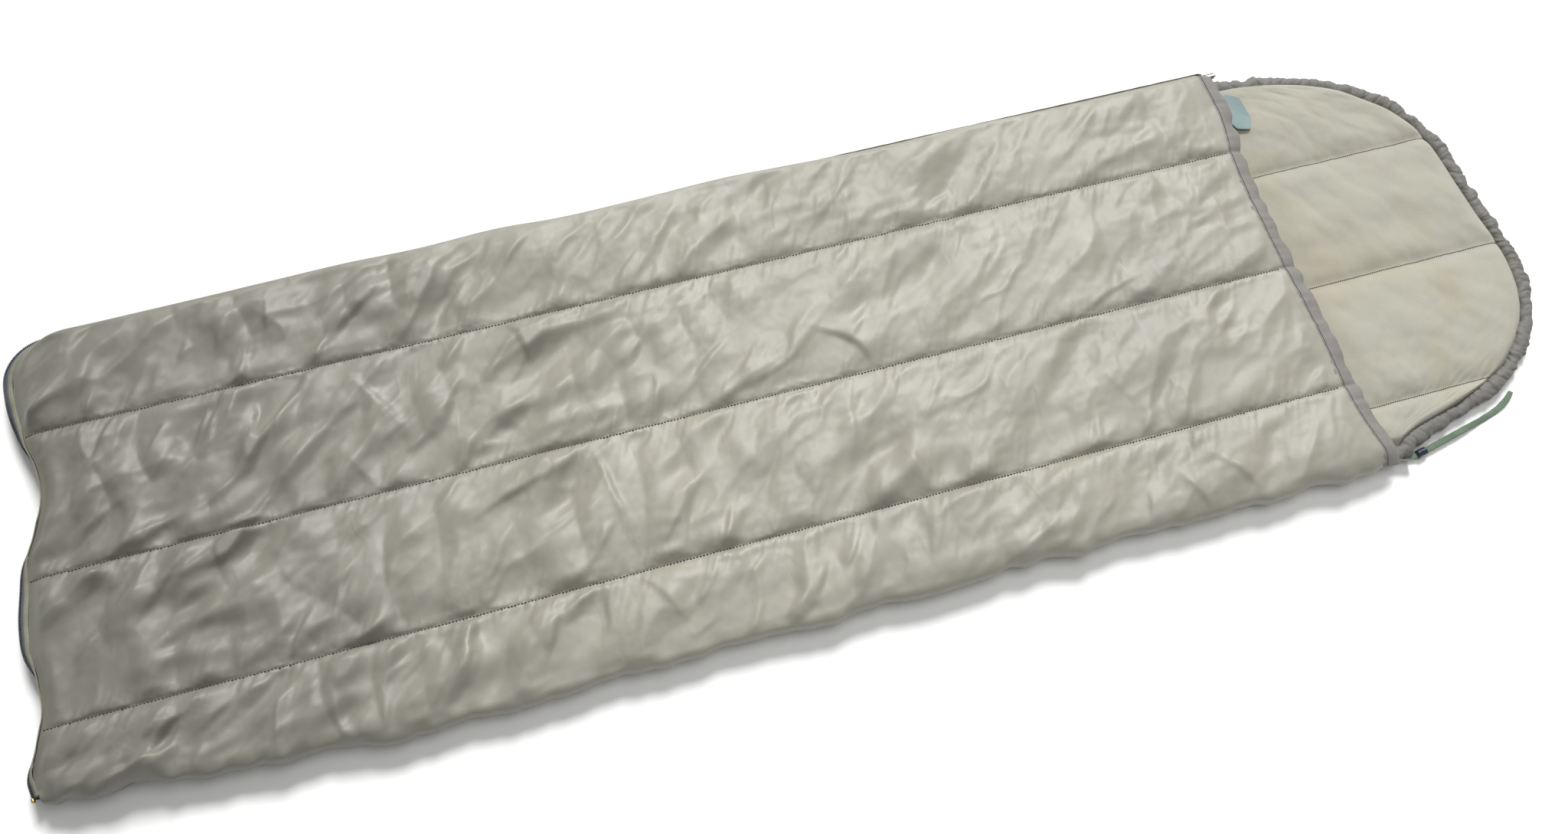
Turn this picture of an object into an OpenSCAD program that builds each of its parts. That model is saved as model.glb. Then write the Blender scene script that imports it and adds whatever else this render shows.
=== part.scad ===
// Envelope sleeping bag with a half-round hood, lying flat and zipped shut.
// +X runs to the hood, +Y to the zip side, -Y to the folded side, +Z up.
// The origin is on the ground, under the middle of the bag.

/* [Bag] */
// Length from the foot edge to the mouth edge
bag_l = 1840; // [1800:10:1900]
// Width of the closed bag
bag_w = 700; // [690:5:720]
// Length of the hood beyond the mouth edge
hood_l = 350; // [330:10:380]
// Radius of the foot corner that the zip turns round
corner_r = 60; // [40:5:90]

/* [Layers] */
// Thickness of the shell and lining cloth with its gathered allowance
cloth_t = 1; // [0.8:0.1:1.2]
// Loft of the fill in one panel
fill_t = 20; // [19:1:24]
// Height of the sleeping space in the empty bag
cavity_h = 12; // [12:1:16]
// Width of a quilted seam
seam_w = 1.2; // [1:0.1:2]
// Width of the folded hem at the mouth
hem_w = 30; // [24:1:36]
// Height of the folded hem
hem_h = 12; // [8:1:14]

/* [Zip] */
// Thickness of the zip tape
tape_t = 0.8; // [0.6:0.1:0.9]
// Width of one zip tape, with its coil
tape_w = 15; // [14:1:16]
// Width of the piping over each tape's seam
piping_w = 5; // [4:0.5:6]
// Thickness of the zip coil
coil_t = 3; // [2.8:0.1:3.2]
// Height of one half of the zip coil
coil_h = 2.2; // [2:0.1:2.3]
// Length of the zip slider
slider_l = 22; // [21:1:24]
// Length of the slider's pull
pull_l = 26; // [22:1:30]

/* [Drawcord] */
// Width of the gathered casing round the hood
casing_w = 22; // [20:1:24]
// Height of the gathered casing
casing_h = 17; // [14:1:18]
// Width of the flat drawcord
cord_w = 9; // [8:0.5:9]
// Thickness of the flat drawcord
cord_t = 2.4; // [2:0.1:2.4]
// Length of the cord lock
lock_l = 16; // [12:1:18]

/* [Hidden] */
$fn = 64;

// Clearance left at each hinge line
hinge_gap = 0.3;
// Overlap of a cutting solid past the face that it cuts
cut = 1;

// Heights of the layers
panel_t = fill_t + 2 * cloth_t;
upper_z = panel_t + cavity_h;
bag_h = 2 * panel_t + cavity_h;
mid_z = bag_h / 2;

// Places along the bag, from the foot to the tip of the hood
foot_x = -(bag_l + hood_l) / 2;
mouth_x = foot_x + bag_l;
hinge_x = mouth_x + 30;
tip_x = mouth_x + hood_l;
lower_end_x = hinge_x - hinge_gap;
upper_end_x = mouth_x - hem_w;
// Cloth and wadding at the fold, which starts just past the zip's bottom stop
fold_t = 2;
fold_start = foot_x + 6;

// Slider, measured outwards from the zip coil
plate_gap = 0.5;
plate_t = 2;
plate_half_h = 5;
crown_h = 4.6;
crown_l = 13;
crown_w = 2.4;
crown_bar_t = 1.7;
crown_leg = 2;
slider_x = hinge_x - 5 - slider_l / 2;

// Sides of the bag: the fold, and the outer face of the zip coil
near_y = -bag_w / 2;
upper_near_y = near_y + hinge_gap;
coil_y = bag_w / 2 - crown_h - plate_t - plate_gap;

// Depths inwards from the outer face of the coil
tape_in = (coil_t - tape_t) / 2;
wall_in = tape_in + tape_t;
fill_in = wall_in + cloth_t;

// Two coil halves, with the gap that the slider's web runs in
coil_gap = 1.2;
web_t = 0.6;
coil_low = mid_z - coil_gap / 2 - coil_h;
coil_high = mid_z + coil_gap / 2;
tape_low = coil_low + coil_h - tape_w;
tape_high = coil_high + coil_h;

// Foot end of the zip, clear of the fold that the upper panel turns on
stop_w = 6;
stop_y = near_y + 36;
lower_zip_y = stop_y + stop_w;
upper_zip_y = lower_zip_y + 1;

// Places of the quilt lines across the upper panel, and across the lower panel and hood
upper_quilt_y = [-222, -20, 190];
lower_quilt_y = [-258, -54, 150];

// Pull of the zip slider, turning on its round bar under the crown
crown_y = coil_y + plate_gap + plate_t;
pull_bar_r = 0.8;
pull_bar_y = crown_y + 1.5;
pull_half_w = 4;
pull_window_l = 8;
pull_window_w = 4;

// Hood outline
hood_half_w = 322;
hood_y = 8;
hood_power = 2.2;
hood_steps = 40;
casing_z = 1;
channel_z = casing_z + casing_h / 2;
channel_gap = 1;

// Free end of the drawcord: centre line from inside the casing to the bare end
tail = [
  [782, -305, 9.5], [780.5, -313, 9.3], [782, -321, 8.8], [785.5, -328.5, 8.1], [791, -334.5, 7.4],
  [798.5, -338.2, 6.9], [806.5, -339.2, 6.7], [818.5, -336.6, 6.7], [830.5, -334, 6.7],
  [842.5, -331.4, 6.7], [854.5, -328.8, 6.7], [866.5, -326.2, 6.7], [878.5, -323.6, 6.7],
  [890.5, -321, 5.9], [902.5, -318.4, 4.4], [914.5, -315.8, 2.9], [926.5, -313, 1.8],
  [938.5, -310, 1.4], [950.5, -306.6, 1.3], [962, -302.4, 1.3], [973, -297, 1.3],
  [983.5, -290.6, 1.3], [993, -283.2, 1.3]
];

// Cord lock on the tail's straight stretch
lock_from = tail[6];
lock_turn = atan2(tail[12][1] - tail[6][1], tail[12][0] - tail[6][0]);
lock_r = 6.2;
lock_chamfer = 1.3;
lock_start = 1.5;
lock_gap = 0.4;

// Outline of the bag, set in from the coil, with the far foot corner round
module plan(inset, x_end, near) {
  x0 = foot_x + inset;
  y1 = coil_y - inset;
  r = corner_r - inset;
  union() {
    translate([x0 + r, near]) square([x_end - x0 - r, y1 - near]);
    translate([x0, near]) square([2 * r, y1 - r - near]);
    translate([x0 + r, y1 - r]) circle(r);
  }
}

// Layer of a panel with its outline set in from the coil
module layer(inset, x_end, near, z, t) {
  translate([0, 0, z]) linear_extrude(t) plan(inset, x_end, near);
}

// Band that follows the zip along the foot and the far side
module zip_band(outer, inner, near, x_end, z, t) {
  translate([0, 0, z]) linear_extrude(t) difference() {
    plan(outer, x_end, near);
    plan(inner, x_end + cut, near - cut);
  }
}

// Upright slabs along the quilt lines
module quilt_slabs(places, x0, x1, z, t) {
  for (y = places) translate([x0, y - seam_w / 2, z]) cube([x1 - x0, seam_w, t]);
}

// Half-round outline of the hood, set in by a width
function hood_point(a, inset) = [
  hinge_x + (tip_x - hinge_x - inset) * pow(cos(a), 2 / hood_power),
  (hood_half_w - inset) * sign(a) * pow(abs(sin(a)), 2 / hood_power)
];
module hood_plan(inset, back = 0) {
  x0 = hinge_x + hinge_gap;
  half_w = hood_half_w - inset;
  rim = [for (i = [0:hood_steps]) hood_point(-90 + 180 * i / hood_steps, inset)];
  translate([0, hood_y]) union() {
    polygon(concat([[x0, half_w], [x0, -half_w]], [for (p = rim) if (p[0] > hinge_x + 2) p]));
    if (back > 0) translate([x0 - back, -half_w]) square([2 * back, 2 * half_w]);
  }
}

module hood_layer(inset, z, t) {
  translate([0, 0, z]) linear_extrude(t) hood_plan(inset);
}

module hood_band(outer, inner, z, t) {
  translate([0, 0, z]) linear_extrude(t) difference() {
    hood_plan(outer);
    hood_plan(inner, cut);
  }
}

// Flat cord with rounded edges, swept along its route
function cord_ring(route, i, w, t) =
  let (
    ahead = route[min(i + 1, len(route) - 1)] - route[max(i - 1, 0)],
    along = ahead / norm(ahead),
    side = cross([0, 0, 1], along) / norm(cross([0, 0, 1], along)),
    up = cross(along, side)
  )
  [for (a = [0:45:315]) route[i] + side * w / 2 * cos(a) + up * t / 2 * sin(a)];
module flat_cord(route, w, t) {
  last = len(route) - 1;
  points = [for (i = [0:last]) each cord_ring(route, i, w, t)];
  walls = [for (i = [0:last - 1], k = [0:7])
    let (a = 8 * i + k, b = 8 * i + (k + 1) % 8) each [[a, b + 8, b], [a, a + 8, b + 8]]];
  ends = [[for (k = [0:7]) k], [for (k = [7:-1:0]) 8 * last + k]];
  polyhedron(points, concat(ends, walls));
}

// Lower panel

module lower_shell() {
  color([0.63, 0.61, 0.57]) difference() {
    layer(wall_in, lower_end_x, near_y, 0, panel_t);
    layer(fill_in, hinge_x + cut, near_y + cloth_t, cloth_t, panel_t);
  }
}

module lower_fill() {
  color([0.93, 0.93, 0.90]) difference() {
    layer(fill_in, lower_end_x, near_y + cloth_t, cloth_t, fill_t);
    quilt_slabs(lower_quilt_y, foot_x, hinge_x, 0, panel_t);
  }
}

module lower_lining() {
  color([0.75, 0.74, 0.68])
    layer(fill_in, lower_end_x, near_y + cloth_t, cloth_t + fill_t, cloth_t);
}

module lower_quilt_seams() {
  color([0.40, 0.39, 0.36])
    quilt_slabs(lower_quilt_y, foot_x + fill_in, lower_end_x, cloth_t, fill_t);
}

// Lower half of the quilted cloth that bends round the folded side
module lower_fold() {
  color([0.63, 0.61, 0.57]) translate([fold_start, near_y, panel_t])
    cube([upper_end_x - fold_start, fold_t, mid_z - hinge_gap - panel_t]);
}

module lower_zip_tape() {
  color([0.30, 0.33, 0.40])
    zip_band(tape_in, wall_in, lower_zip_y, hinge_x - 1, tape_low, coil_low - tape_low);
}

module lower_zip_coil() {
  color([0.15, 0.17, 0.22]) zip_band(0, coil_t, lower_zip_y, hinge_x - 4, coil_low, coil_h);
}

module lower_piping() {
  color([0.46, 0.45, 0.36]) zip_band(0, tape_in, lower_zip_y, mouth_x, tape_low, piping_w);
}

module zip_bottom_stop() {
  color([0.78, 0.62, 0.30])
    translate([foot_x, stop_y, coil_low]) cube([4, stop_w, 2 * coil_h + coil_gap]);
}

module zip_top_stop() {
  color([0.78, 0.62, 0.30])
    translate([hinge_x - 4, coil_y - coil_t - 0.4, coil_low]) cube([3, coil_t + 0.8, coil_h + 0.4]);
}

module corner_tab() {
  color([0.58, 0.67, 0.67]) translate([mouth_x + 1, coil_y - 76, panel_t]) cube([25, 64, cloth_t]);
}

// Upper panel

module upper_shell() {
  color([0.69, 0.67, 0.62]) difference() {
    layer(wall_in, upper_end_x, upper_near_y, upper_z, panel_t);
    layer(fill_in, upper_end_x - cloth_t, upper_near_y + cloth_t, upper_z - cut, panel_t);
  }
}

module upper_fill() {
  color([0.93, 0.93, 0.90]) difference() {
    layer(fill_in, upper_end_x - cloth_t, upper_near_y + cloth_t, upper_z + cloth_t, fill_t);
    quilt_slabs(upper_quilt_y, foot_x, mouth_x, upper_z, panel_t);
  }
}

module upper_lining() {
  color([0.75, 0.74, 0.68])
    layer(fill_in, upper_end_x - cloth_t, upper_near_y + cloth_t, upper_z, cloth_t);
}

module upper_quilt_seams() {
  color([0.40, 0.39, 0.36])
    quilt_slabs(upper_quilt_y, foot_x + fill_in, upper_end_x - cloth_t, upper_z + cloth_t, fill_t);
}

// Upper half of the quilted cloth that bends round the folded side
module upper_fold() {
  color([0.69, 0.67, 0.62]) translate([fold_start, upper_near_y, mid_z + hinge_gap])
    cube([upper_end_x - fold_start, fold_t, upper_z - mid_z - hinge_gap]);
}

module mouth_hem() {
  color([0.60, 0.58, 0.57])
    translate([upper_end_x, upper_near_y, upper_z + (panel_t - hem_h) / 2])
      cube([hem_w, coil_y - wall_in - upper_near_y, hem_h]);
}

module hem_stitching() {
  color([0.40, 0.39, 0.36])
    translate([upper_end_x + 2, upper_near_y + 3, upper_z + (panel_t + hem_h) / 2])
      cube([seam_w, coil_y - upper_near_y - 8, 0.6]);
}

module upper_zip_tape() {
  color([0.30, 0.33, 0.40])
    zip_band(tape_in, wall_in, upper_zip_y, mouth_x - 2, tape_high, tape_w - coil_h);
}

module upper_zip_coil() {
  color([0.15, 0.17, 0.22]) zip_band(0, coil_t, upper_zip_y, mouth_x - 4, coil_high, coil_h);
}

module upper_piping() {
  color([0.46, 0.45, 0.36])
    zip_band(0, tape_in, upper_zip_y, mouth_x - 2, coil_high + tape_w - piping_w, piping_w);
}

// Hood

module hood_shell() {
  color([0.63, 0.61, 0.57]) difference() {
    hood_layer(casing_w, 0, panel_t);
    translate([0, 0, cloth_t]) linear_extrude(panel_t) hood_plan(casing_w + cloth_t, cut);
  }
}

module hood_fill() {
  color([0.93, 0.93, 0.90]) difference() {
    hood_layer(casing_w + cloth_t, cloth_t, fill_t);
    quilt_slabs(lower_quilt_y, hinge_x, tip_x, 0, panel_t);
  }
}

module hood_lining() {
  color([0.80, 0.79, 0.72]) hood_layer(casing_w + cloth_t, cloth_t + fill_t, cloth_t);
}

module hood_quilt_seams() {
  color([0.40, 0.39, 0.36]) intersection() {
    quilt_slabs(lower_quilt_y, hinge_x, tip_x, cloth_t, fill_t);
    hood_layer(casing_w + cloth_t, cloth_t, fill_t);
  }
}

module drawcord_casing() {
  channel_half_w = cord_w / 2 + channel_gap;
  channel_h = cord_t + 2 * channel_gap;
  color([0.60, 0.58, 0.54]) difference() {
    hood_band(0, casing_w, casing_z, casing_h);
    translate([0, 0, channel_z - channel_h / 2]) linear_extrude(channel_h) difference() {
      hood_plan(casing_w / 2 - channel_half_w, cut);
      hood_plan(casing_w / 2 + channel_half_w, 2 * cut);
    }
  }
}

module drawcord() {
  color([0.47, 0.57, 0.49])
    hood_band((casing_w - cord_w) / 2, (casing_w + cord_w) / 2, channel_z - cord_t / 2, cord_t);
}

module drawcord_tail() {
  color([0.47, 0.57, 0.49]) flat_cord(tail, cord_w, cord_t);
}

// Hardware

// Face of the slider's plates, wider at the head end
module slider_outline() {
  half_l = slider_l / 2;
  polygon([
    [-half_l, -4.2], [-half_l + 1.5, -4.8], [4, -plate_half_h], [half_l - 1.5, -plate_half_h],
    [half_l, -4], [half_l, 4], [half_l - 1.5, plate_half_h], [4, plate_half_h],
    [-half_l + 1.5, 4.8], [-half_l, 4.2]
  ]);
}

// Plate or lip of the slider, from y outwards
module slider_slab(y, t, open_half_h = 0) {
  translate([0, y + t, 0]) rotate([90, 0, 0]) linear_extrude(t) difference() {
    slider_outline();
    if (open_half_h > 0) translate([-slider_l, -open_half_h]) square([2 * slider_l, 2 * open_half_h]);
  }
}

module zip_slider() {
  back_y = coil_y - coil_t - plate_gap;
  front_y = coil_y + plate_gap;
  lip_t = 1.1;
  lip_half_h = coil_gap / 2 + coil_h + 0.6;
  color([0.62, 0.63, 0.64]) translate([slider_x, 0, mid_z]) union() {
    slider_slab(front_y, plate_t);
    slider_slab(back_y - plate_t, plate_t);
    slider_slab(front_y - lip_t, lip_t, lip_half_h);
    slider_slab(back_y, lip_t, lip_half_h);
    translate([-slider_l / 2, back_y, -web_t / 2]) cube([slider_l, front_y - back_y, web_t]);
    difference() {
      translate([-crown_l / 2, crown_y, -crown_w / 2]) cube([crown_l, crown_h, crown_w]);
      translate([crown_leg - crown_l / 2, crown_y, -crown_w])
        cube([crown_l - 2 * crown_leg, crown_h - crown_bar_t, 2 * crown_w]);
    }
  }
}

module zip_pull() {
  tab_l = pull_l - pull_half_w;
  color([0.62, 0.63, 0.64]) translate([slider_x, pull_bar_y, mid_z]) union() {
    translate([0, 0, -pull_half_w]) cylinder(h = 2 * pull_half_w, r = pull_bar_r);
    translate([0, pull_bar_r, 0]) rotate([90, 0, 0]) linear_extrude(2 * pull_bar_r) difference() {
      union() {
        translate([-tab_l, -pull_half_w]) square([tab_l, 2 * pull_half_w]);
        translate([-tab_l, 0]) circle(pull_half_w);
      }
      translate([-pull_window_l, -pull_window_w / 2])
        square([pull_window_l - pull_bar_r, pull_window_w]);
      translate([-tab_l, 0]) circle(1.7);
    }
  }
}

module cord_lock() {
  slot_w = cord_w + 2 * lock_gap;
  slot_h = cord_t + 2 * lock_gap;
  color([0.10, 0.12, 0.16]) translate(lock_from) rotate([0, 0, lock_turn])
    translate([lock_start, 0, 0]) rotate([0, 90, 0]) difference() {
      rotate_extrude() polygon([
        [0, 0], [lock_r - lock_chamfer, 0], [lock_r, lock_chamfer],
        [lock_r, lock_l - lock_chamfer], [lock_r - lock_chamfer, lock_l], [0, lock_l]
      ]);
      translate([-slot_h / 2, -slot_w / 2, -cut]) cube([slot_h, slot_w, lock_l + 2 * cut]);
    }
}

lower_shell();
lower_fill();
lower_lining();
lower_quilt_seams();
lower_fold();
lower_zip_tape();
lower_zip_coil();
lower_piping();
zip_bottom_stop();
zip_top_stop();
corner_tab();
upper_shell();
upper_fill();
upper_lining();
upper_quilt_seams();
upper_fold();
mouth_hem();
hem_stitching();
upper_zip_tape();
upper_zip_coil();
upper_piping();
hood_shell();
hood_fill();
hood_lining();
hood_quilt_seams();
drawcord_casing();
drawcord();
drawcord_tail();
zip_slider();
zip_pull();
cord_lock();
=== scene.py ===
"""Worn quilted sleeping bag, lying flat and zipped shut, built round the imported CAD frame."""

import math

import bpy
import numpy as np
from mathutils import Matrix, Vector


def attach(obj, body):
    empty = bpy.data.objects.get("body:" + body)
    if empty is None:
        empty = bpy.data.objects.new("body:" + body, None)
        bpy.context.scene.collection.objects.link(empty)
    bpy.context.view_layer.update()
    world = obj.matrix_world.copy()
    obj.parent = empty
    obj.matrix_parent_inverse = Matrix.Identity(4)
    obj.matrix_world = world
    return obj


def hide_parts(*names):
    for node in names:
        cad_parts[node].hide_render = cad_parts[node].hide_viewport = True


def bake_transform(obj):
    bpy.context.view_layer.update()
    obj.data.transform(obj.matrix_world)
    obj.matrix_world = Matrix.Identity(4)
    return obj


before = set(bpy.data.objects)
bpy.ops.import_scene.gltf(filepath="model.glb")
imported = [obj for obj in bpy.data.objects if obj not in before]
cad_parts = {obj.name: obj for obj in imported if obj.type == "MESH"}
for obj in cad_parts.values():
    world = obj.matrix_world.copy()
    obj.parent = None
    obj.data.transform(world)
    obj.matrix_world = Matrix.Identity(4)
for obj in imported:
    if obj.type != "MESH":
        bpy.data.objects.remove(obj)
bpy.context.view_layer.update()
scene = bpy.context.scene
MM = 0.001

# ---------------- camera

CAMERA_AT = Vector((-0.3185, -0.7393, 1.7865))
CAMERA_AZIMUTH, CAMERA_DOWN, CAMERA_ROLL = (math.radians(a) for a in (20.487, 67.297, 4.881))
forward = Vector((
    math.sin(CAMERA_AZIMUTH) * math.cos(CAMERA_DOWN),
    math.cos(CAMERA_AZIMUTH) * math.cos(CAMERA_DOWN),
    -math.sin(CAMERA_DOWN),
))
level = Vector((math.cos(CAMERA_AZIMUTH), -math.sin(CAMERA_AZIMUTH), 0))
above = level.cross(forward)
right = level * math.cos(CAMERA_ROLL) + above * math.sin(CAMERA_ROLL)
up = above * math.cos(CAMERA_ROLL) - level * math.sin(CAMERA_ROLL)
camera_data = bpy.data.cameras.new("camera")
camera_data.sensor_width = 36
camera_data.lens = 30.83
camera_data.clip_end = 50
camera = bpy.data.objects.new("camera", camera_data)
camera.matrix_world = Matrix.Translation(CAMERA_AT) @ Matrix((right, up, -forward)).transposed().to_4x4()
scene.collection.objects.link(camera)
scene.camera = camera

# ---------------- helpers


def smooth(t):
    t = np.clip(t, 0, 1)
    return t * t * (3 - 2 * t)


def through(points, at):
    """Smooth curve through a few given (place, value) points."""
    xs = np.array([p[0] for p in points], float)
    ys = np.array([p[1] for p in points], float)
    slope = np.gradient(ys, xs)
    at = np.clip(np.asarray(at, float), xs[0], xs[-1])
    i = np.clip(np.searchsorted(xs, at) - 1, 0, len(xs) - 2)
    h = xs[i + 1] - xs[i]
    t = (at - xs[i]) / h
    return (
        ys[i] * (2 * t**3 - 3 * t**2 + 1)
        + slope[i] * h * (t**3 - 2 * t**2 + t)
        + ys[i + 1] * (3 * t**2 - 2 * t**3)
        + slope[i + 1] * h * (t**3 - t**2)
    )


def spline(points, step):
    """Evenly spaced points along a smooth curve through the given ones."""
    p = np.array(points, float)
    length = np.concatenate([[0], np.cumsum(np.linalg.norm(np.diff(p, axis=0), axis=1))])
    fine = np.linspace(0, length[-1], 40 * len(p))
    curve = np.stack([through(list(zip(length, p[:, k])), fine) for k in range(p.shape[1])], -1)
    run = np.concatenate([[0], np.cumsum(np.linalg.norm(np.diff(curve, axis=0), axis=1))])
    at = np.linspace(0, run[-1], max(2, int(round(run[-1] / step)) + 1))
    return np.stack([np.interp(at, run, curve[:, k]) for k in range(p.shape[1])], -1), at


def waves(x, y, wavelength, turn, spread, seed, count=22):
    """Smooth noise of about unit size. Its crests run at right angles to turn, in degrees."""
    rng = np.random.default_rng(seed)
    out = np.zeros_like(x)
    for _ in range(count):
        a = math.radians(turn + rng.normal(0, spread))
        w = wavelength * math.exp(rng.normal(0, 0.3))
        out += np.sin(2 * math.pi * (x * math.cos(a) + y * math.sin(a)) / w + rng.uniform(0, 2 * math.pi))
    return out / math.sqrt(count / 2)


def creased(noise, sharp=1.3):
    """Round swells with narrow valleys between them, from 0 to 1."""
    return 1 - np.exp(-sharp * np.abs(noise))


def link(obj):
    scene.collection.objects.link(obj)
    return obj


def mesh_object(name, points, faces, material, smooth_shade=True):
    mesh = bpy.data.meshes.new(name)
    mesh.from_pydata(np.asarray(points, float).reshape(-1, 3).tolist(), [], [tuple(f) for f in faces])
    mesh.validate()
    mesh.update()
    mesh.polygons.foreach_set("use_smooth", [smooth_shade] * len(mesh.polygons))
    mesh.materials.append(material)
    return link(bpy.data.objects.new(name, mesh))


def grid_faces(nx, ny, wrap=False, flip=False):
    index = np.arange(nx * ny).reshape(nx, ny)
    if wrap:
        index = np.concatenate([index, index[:, :1]], 1)
    quads = np.stack([index[:-1, :-1], index[1:, :-1], index[1:, 1:], index[:-1, 1:]], -1).reshape(-1, 4)
    return (quads[:, ::-1] if flip else quads).tolist()


def cloth_grid(name, points, material, flip=False):
    """Sheet of cloth from an nx by ny grid of points."""
    nx, ny = points.shape[:2]
    piece = mesh_object(name, points, grid_faces(nx, ny, flip=flip), material)
    soften(piece)
    return piece


def soften(piece):
    """Applies a subdivision surface."""
    modifier = piece.modifiers.new("soften", "SUBSURF")
    modifier.levels = modifier.render_levels = 1
    modifier.boundary_smooth = "PRESERVE_CORNERS"
    apply_modifiers(piece)


def apply_modifiers(piece):
    graph = bpy.context.evaluated_depsgraph_get()
    mesh = bpy.data.meshes.new_from_object(piece.evaluated_get(graph))
    old = piece.data
    piece.modifiers.clear()
    piece.data = mesh
    mesh.name = piece.name
    bpy.data.meshes.remove(old)
    mesh.polygons.foreach_set("use_smooth", [True] * len(mesh.polygons))


def tubes(name, parts, material, flip=False):
    """One mesh of closed skins, each over its own list of rings of points."""
    points, faces = [], []
    for rings in parts:
        rings = np.asarray(rings, float)
        n, m = rings.shape[:2]
        base = len(points)
        skin = grid_faces(n, m, wrap=True)
        skin += [list(range(m)), list(range(n * m - 1, (n - 1) * m - 1, -1))]
        faces += [[base + i for i in (face[::-1] if flip else face)] for face in skin]
        points += rings.reshape(-1, 3).tolist()
    return mesh_object(name, points, faces, material)


def tube(name, rings, material):
    return tubes(name, [rings], material)


CLOTH_STIFFNESS, CLOTH_MASS = 80, 0.1


def settle(points, slack, pinned, frames, pressure, bending):
    """Lets a grid of cloth, cut larger than its place by slack, settle into folds between its pins."""
    nx, ny = points.shape[:2]
    piece = mesh_object("settling", points, grid_faces(nx, ny), bpy.data.materials.new("plain"))
    piece.shape_key_add(name="Basis")
    cut_shape = piece.shape_key_add(name="cut")
    steps_along = np.linalg.norm(np.diff(points[:, :, :2], axis=0), axis=2)
    steps_across = np.linalg.norm(np.diff(points, axis=1), axis=2)
    along = np.cumsum(np.concatenate([np.zeros((1, ny)), steps_along]), 0)
    across = np.cumsum(np.concatenate([np.zeros((nx, 1)), steps_across], 1), 1)
    flat = np.stack([along * (1 + slack[0]), across * (1 + slack[1]), np.zeros((nx, ny))], -1)
    cut_shape.data.foreach_set("co", flat.reshape(-1).astype(np.float32))
    group = piece.vertex_groups.new(name="pin")
    group.add([int(i) for i in np.flatnonzero(pinned)], 1, "REPLACE")
    modifier = piece.modifiers.new("cloth", "CLOTH")
    cloth = modifier.settings
    cloth.quality = 4
    cloth.mass = CLOTH_MASS
    cloth.air_damping = 2
    cloth.tension_stiffness = cloth.compression_stiffness = CLOTH_STIFFNESS
    cloth.shear_stiffness = CLOTH_STIFFNESS / 2
    cloth.bending_stiffness = bending
    cloth.use_pressure = True
    cloth.uniform_pressure_force = pressure
    cloth.vertex_group_mass = "pin"
    cloth.pin_stiffness = 1
    cloth.rest_shape_key = cut_shape
    cloth.effector_weights.gravity = 0
    modifier.collision_settings.use_collision = False
    modifier.point_cache.frame_start = 1
    modifier.point_cache.frame_end = frames + 1
    for step in range(1, frames + 1):
        scene.frame_set(step)
    settled = np.zeros(nx * ny * 3, np.float32)
    piece.evaluated_get(bpy.context.evaluated_depsgraph_get()).data.vertices.foreach_get("co", settled)
    mesh = piece.data
    bpy.data.objects.remove(piece)
    bpy.data.meshes.remove(mesh)
    scene.frame_set(1)
    return settled.reshape(nx, ny, 3).astype(float)


# ---------------- materials


def new_material(name, color, roughness, **sockets):
    material = bpy.data.materials.new(name)
    material.use_nodes = True
    shader = material.node_tree.nodes["Principled BSDF"]
    shader.inputs["Base Color"].default_value = (*color, 1)
    shader.inputs["Roughness"].default_value = roughness
    for key, value in sockets.items():
        shader.inputs[key.replace("_", " ")].default_value = value
    return material


def node(material, kind, **values):
    """New node. Each value sets the input of that name, or else the node's own property."""
    made = material.node_tree.nodes.new(kind)
    for key, value in values.items():
        label = key.replace("_", " ")
        if label in made.inputs:
            made.inputs[label].default_value = value
        else:
            setattr(made, key, value)
    return made


def wire(material, a, out, b, into):
    material.node_tree.links.new(a.outputs[out], b.inputs[into])


def noise_of(material, place, scale, detail=3, roughness=0.55, distortion=0.0, squash=None):
    source = place
    if squash:
        mapping = node(material, "ShaderNodeMapping", Rotation=squash[0], Scale=squash[1])
        wire(material, place, "Object", mapping, "Vector")
        source = mapping
    made = node(material, "ShaderNodeTexNoise", Scale=scale, Detail=detail, Roughness=roughness,
                Distortion=distortion)
    wire(material, source, "Object" if source is place else "Vector", made, "Vector")
    return made


def tint(material, base, factor, color, low, high, strength=1.0, out="Fac"):
    """Blends color over base where factor runs from low to high."""
    ramp = node(material, "ShaderNodeMapRange", From_Min=low, From_Max=high, To_Max=strength)
    wire(material, factor, out, ramp, "Value")
    mix = node(material, "ShaderNodeMix", data_type="RGBA")
    first, second = mix.inputs[6], mix.inputs[7]
    wire(material, ramp, "Result", mix, "Factor")
    if isinstance(base, tuple):
        first.default_value = (*base, 1)
    else:
        material.node_tree.links.new(base.outputs[2], first)
    second.default_value = (*color, 1)
    return mix


def weave(material, place, pitch, strength, distance):
    """Over-and-under weave as a bump node."""
    heights = []
    for direction in ("X", "Y"):
        wave = node(material, "ShaderNodeTexWave", Scale=1 / pitch / 3.1416, Distortion=0.6, Detail_Scale=1.5,
                    bands_direction=direction)
        wire(material, place, "Object", wave, "Vector")
        heights.append(wave)
    product = node(material, "ShaderNodeMath", operation="MULTIPLY")
    wire(material, heights[0], "Fac", product, 0)
    wire(material, heights[1], "Fac", product, 1)
    bump = node(material, "ShaderNodeBump", Strength=strength, Distance=distance)
    wire(material, product, "Value", bump, "Height")
    return bump


def bump_over(material, height, strength, distance, under=None):
    bump = node(material, "ShaderNodeBump", Strength=strength, Distance=distance)
    wire(material, height, "Fac", bump, "Height")
    if under:
        wire(material, under, "Normal", bump, "Normal")
    return bump


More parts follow.
